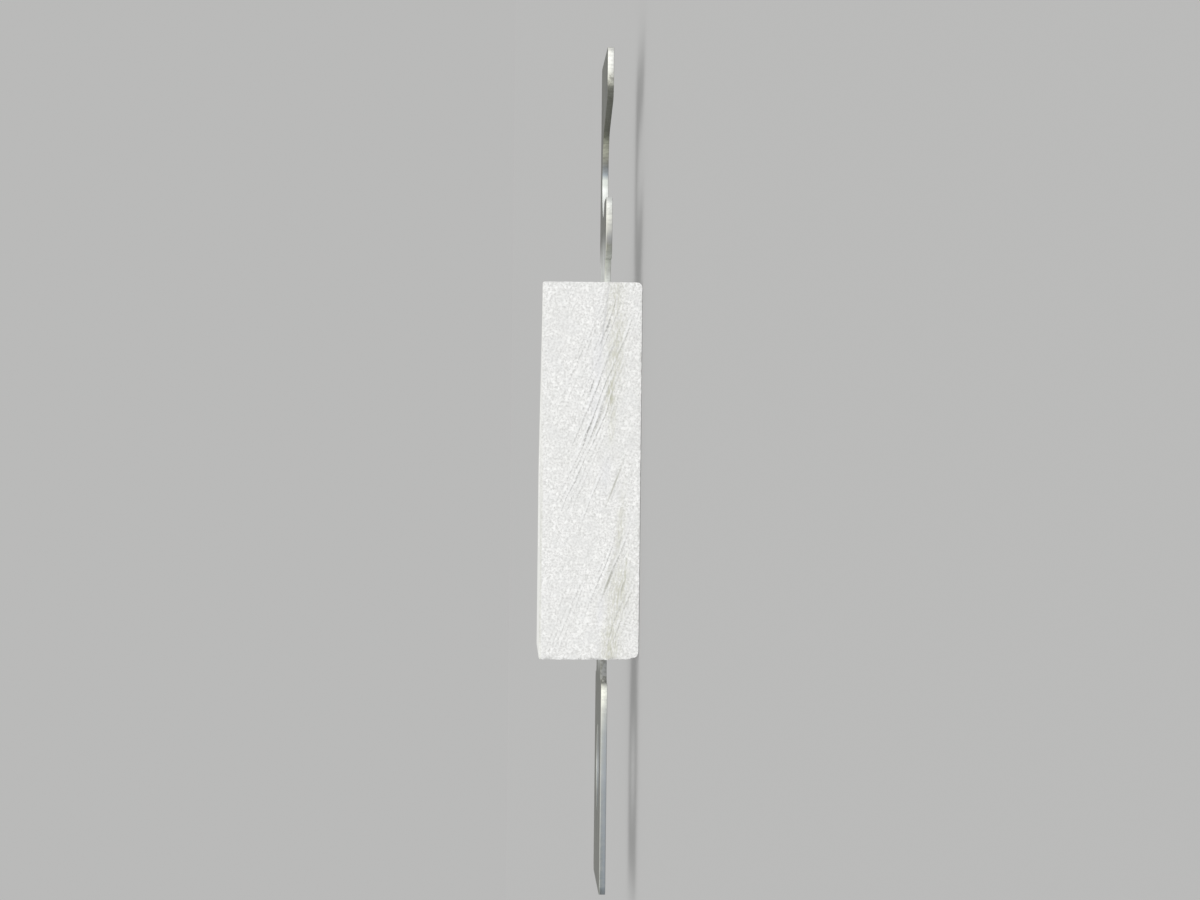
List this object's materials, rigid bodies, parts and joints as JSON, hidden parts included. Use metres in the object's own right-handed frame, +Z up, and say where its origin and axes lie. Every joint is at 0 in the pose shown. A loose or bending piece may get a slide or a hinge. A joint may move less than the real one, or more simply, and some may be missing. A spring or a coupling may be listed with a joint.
{
  "type": "bolt-down strip fuse",
  "caption": "Flat strip fuse in a split insulating body with a mica inspection window, bolted down through a closed hole and a side-entry slot.",
  "frame": {"origin": "centre of the body's broad resting face, on the thin half's side", "axes": "+X along the strip towards the terminal with the side-entry slot, +Y across the strip away from that slot's mouth, +Z up through the body's thickness to the window face, along the studs"},
  "size_m": [0.081, 0.022, 0.0095],
  "materials": {
    "plated_strip": "dull bright tin plate with handling marks",
    "body_ceramic": "matt, granular, sanded with faint slanting scratches on the narrow sides",
    "mica": "thin amber mica sheet, smooth, faintly flaked"
  },
  "bodies": {
    "root": {"fuse_strip": "plated_strip", "body_base": "body_ceramic", "body_cover": "body_ceramic", "window_pane": "mica"}
  },
  "joints": []
}
